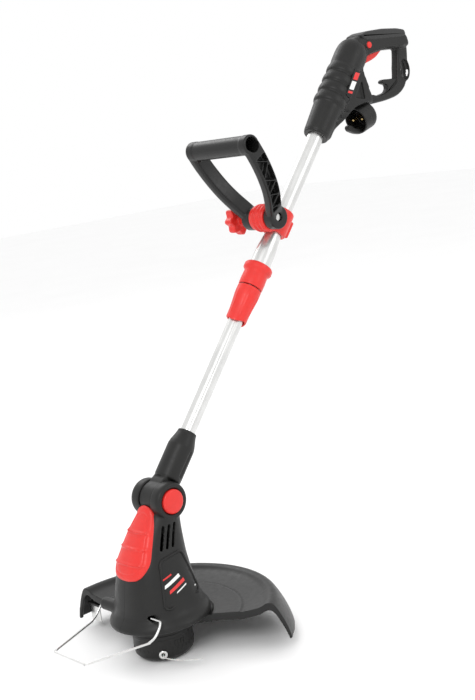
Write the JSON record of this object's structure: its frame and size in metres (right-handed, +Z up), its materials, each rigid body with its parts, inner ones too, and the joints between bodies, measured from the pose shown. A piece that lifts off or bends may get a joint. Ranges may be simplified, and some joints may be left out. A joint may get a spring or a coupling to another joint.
{
  "type": "string trimmer",
  "caption": "Corded line trimmer: tilting motor head with guard and bump-feed spool, telescopic tube shaft, sliding front loop handle and D-shaped rear grip with trigger.",
  "frame": {"origin": "middle of the flat foot under the spool, on the spool axis", "axes": "+Z up along the spool axis, +X from the head back towards the user, +Y to the user's right"},
  "size_m": [0.8262, 0.3453, 0.8334],
  "materials": {
    "black_shell": "satin moulded black plastic with a fine grain",
    "soft_grip": "soft black grip rubber",
    "red_plastic": "smooth orange-red moulded plastic",
    "silver_tube": "bright silver-lacquered tube",
    "steel": "bright steel",
    "wire_steel": "plated round wire",
    "motor_steel": "zinc-plated motor can",
    "brass": "plain brass",
    "copper_rotor": "lacquered rotor",
    "nylon": "natural nylon",
    "cutting_nylon": "clear grey nylon line",
    "dark_plastic": "dark grey switch plastic"
  },
  "bodies": {
    "rear_handle": {"rear_housing_left": "black_shell", "rear_housing_right": "black_shell", "grip_insert": "soft_grip", "cord_hook": "black_shell", "inlet_shroud": "black_shell", "inlet_pin_left": "brass", "inlet_pin_right": "brass", "switch_body": "dark_plastic", "trigger_pin": "steel", "trigger_spring": "steel", "rear_screw_1": "steel", "rear_screw_2": "steel", "rear_screw_3": "steel", "upper_tube": "silver_tube", "guide_bush": "nylon", "inner_lead": "dark_plastic", "collar_sleeve": "red_plastic", "clamping_jaw": "nylon"},
    "trigger": {"trigger": "red_plastic"},
    "lock_off_button": {"lock_off_button": "red_plastic"},
    "handle_clamp": {"clamp_body": "red_plastic", "clamp_bolt": "steel"},
    "front_handle": {"front_handle": "black_shell"},
    "clamp_knob": {"clamp_knob": "red_plastic"},
    "twist_collar": {"twist_collar": "red_plastic"},
    "lower_shaft": {"lower_tube": "silver_tube", "neck": "black_shell"},
    "head": {"motor_housing_left": "black_shell", "motor_housing_right": "black_shell", "front_cover": "red_plastic", "motor_can": "motor_steel", "lower_bearing": "steel", "upper_bearing": "steel", "guard": "black_shell", "blade_cover": "black_shell", "line_cutter_blade": "steel", "blade_screw": "steel", "tilt_pin": "steel", "tilt_spring": "steel"},
    "tilt_button": {"tilt_button": "red_plastic"},
    "wire_guard": {"wire_guard": "wire_steel"},
    "spool": {"spool_cap": "black_shell", "line_eyelet_left": "steel", "line_eyelet_right": "steel", "line_reel": "red_plastic", "wound_line": "cutting_nylon", "drive_hub": "black_shell", "motor_shaft": "steel", "rotor": "copper_rotor", "cooling_fan": "nylon", "reel_spring": "steel", "cutting_line_left": "cutting_nylon", "cutting_line_right": "cutting_nylon"},
    "bump_knob": {"bump_knob": "black_shell"}
  },
  "joints": [
    {"name": "trigger_pull", "type": "hinge", "parent": "rear_handle", "child": "trigger", "pos_m": [0.606, 0, 0.807], "axis": [0, 1, 0], "range_deg": [0, 6], "stiffness_Nm_per_rad": 1.2},
    {"name": "lock_off_press", "type": "slide", "parent": "rear_handle", "child": "lock_off_button", "axis": [0, 1, 0], "range_m": [0, 0.0025], "stiffness_N_per_m": 1200},
    {"name": "clamp_slide", "type": "slide", "parent": "rear_handle", "child": "handle_clamp", "axis": [0.6587, 0, 0.7524], "range_m": [-0.003, 0.12]},
    {"name": "front_handle_tilt", "type": "hinge", "parent": "handle_clamp", "child": "front_handle", "pos_m": [0.30337, 0, 0.57277], "axis": [0, 1, 0], "range_deg": [-60, 30]},
    {"name": "clamp_knob_turn", "type": "hinge", "parent": "handle_clamp", "child": "clamp_knob", "pos_m": [0.30337, 0, 0.57277], "axis": [0, 1, 0], "continuous": true},
    {"name": "twist_collar_turn", "type": "hinge", "parent": "rear_handle", "child": "twist_collar", "pos_m": [0.23617, 0, 0.45351], "axis": [0.6587, 0, 0.7524], "range_deg": [0, 90]},
    {"name": "telescope", "type": "slide", "parent": "rear_handle", "child": "lower_shaft", "axis": [0.6587, 0, 0.7524], "range_m": [0, 0.16]},
    {"name": "head_tilt", "type": "hinge", "parent": "lower_shaft", "child": "head", "pos_m": [0.03, 0, 0.218], "axis": [0, 1, 0], "range_deg": [-15, 40]},
    {"name": "tilt_button_press", "type": "slide", "parent": "head", "child": "tilt_button", "axis": [0, 1, 0], "range_m": [0, 0.003], "stiffness_N_per_m": 1500},
    {"name": "wire_guard_swing", "type": "hinge", "parent": "head", "child": "wire_guard", "pos_m": [-0.044, 0, 0.076], "axis": [0, 1, 0], "range_deg": [0, 75]},
    {"name": "spool_spin", "type": "hinge", "parent": "head", "child": "spool", "pos_m": [0, 0, 0], "axis": [0, 0, 1], "continuous": true},
    {"name": "bump_feed", "type": "slide", "parent": "spool", "child": "bump_knob", "axis": [0, 0, 1], "range_m": [0, 0.0025], "stiffness_N_per_m": 2500}
  ]
}
